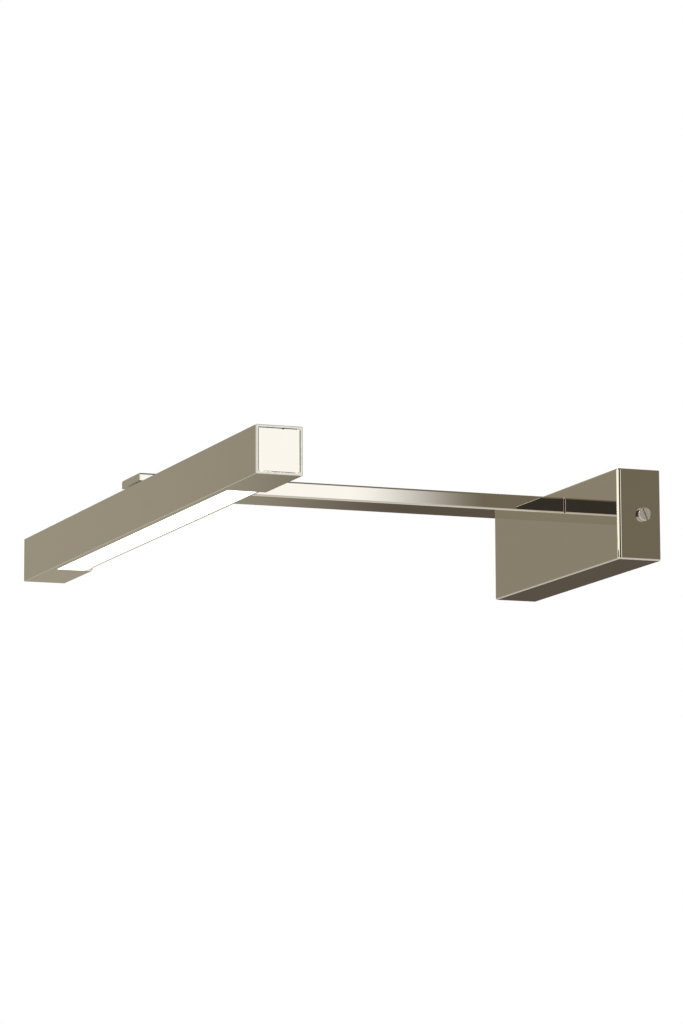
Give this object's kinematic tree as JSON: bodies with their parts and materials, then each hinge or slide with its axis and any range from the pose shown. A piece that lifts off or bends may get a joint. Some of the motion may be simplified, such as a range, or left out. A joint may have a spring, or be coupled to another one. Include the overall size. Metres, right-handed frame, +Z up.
{
  "type": "swing arm wall sconce",
  "caption": "Hard-wired wall light: a rectangular wall plate holds a straight flat arm, and a square LED bar with a downward opal lens swivels on the arm's end.",
  "frame": {"origin": "centre of the wall plate's back, on the wall's surface", "axes": "+Z up, +Y into the wall, so the light stands out along -Y; +X to the right as seen by someone facing the wall, along the LED bar"},
  "size_m": [0.4, 0.275, 0.05],
  "materials": {
    "polished_nickel": "mirror-polished nickel plate, slightly warm",
    "zinc_steel": "bright zinc-plated steel",
    "aluminium": "natural extruded",
    "brass": "plain brass",
    "black_plastic": "fine-textured moulding",
    "white_plastic": "satin moulding",
    "nylon": "natural nylon",
    "black_rubber": "soft black sleeve and grommet",
    "opal_lens": "opal acrylic, lit",
    "white_board": "white solder mask",
    "green_board": "green solder mask",
    "phosphor": "yellow phosphor silicone",
    "brown_sleeve": "brown wire insulation",
    "blue_sleeve": "blue wire insulation"
  },
  "bodies": {
    "wall_and_arm": {"wall_bracket": "zinc_steel", "earth_screw": "brass", "backplate_cover": "polished_nickel", "cover_screw_left": "polished_nickel", "cover_screw_right": "polished_nickel", "driver_case": "black_plastic", "driver_board": "green_board", "driver_lid": "black_plastic", "driver_screw_left": "zinc_steel", "driver_screw_right": "zinc_steel", "terminal_block": "white_plastic", "terminal_screw_1": "brass", "terminal_screw_2": "brass", "terminal_screw_3": "brass", "terminal_screw_4": "brass", "terminal_fixing_screw": "zinc_steel", "driver_lead_live": "brown_sleeve", "driver_lead_neutral": "blue_sleeve", "arm_backing_plate": "zinc_steel", "arm_screw_left": "zinc_steel", "arm_screw_right": "zinc_steel", "cable_grommet": "black_rubber", "arm_tube": "polished_nickel", "arm_root_block": "zinc_steel", "arm_tongue": "polished_nickel", "arm_cable": "black_rubber", "pivot_nipple": "zinc_steel", "pivot_slip_washer": "nylon", "pivot_spring_washer": "zinc_steel", "pivot_nut": "zinc_steel"},
    "head": {"head_housing": "polished_nickel", "end_cap_left": "polished_nickel", "end_cap_right": "polished_nickel", "pivot_bush": "nylon", "led_carrier": "aluminium", "led_board": "white_board", "led_phosphor": "phosphor", "diffuser": "opal_lens", "head_lead": "black_rubber"}
  },
  "joints": [
    {"name": "head_swivel", "type": "hinge", "parent": "wall_and_arm", "child": "head", "pos_m": [0, -0.2625, 0.002], "axis": [0, 0, 1], "range_deg": [-45, 45]}
  ]
}
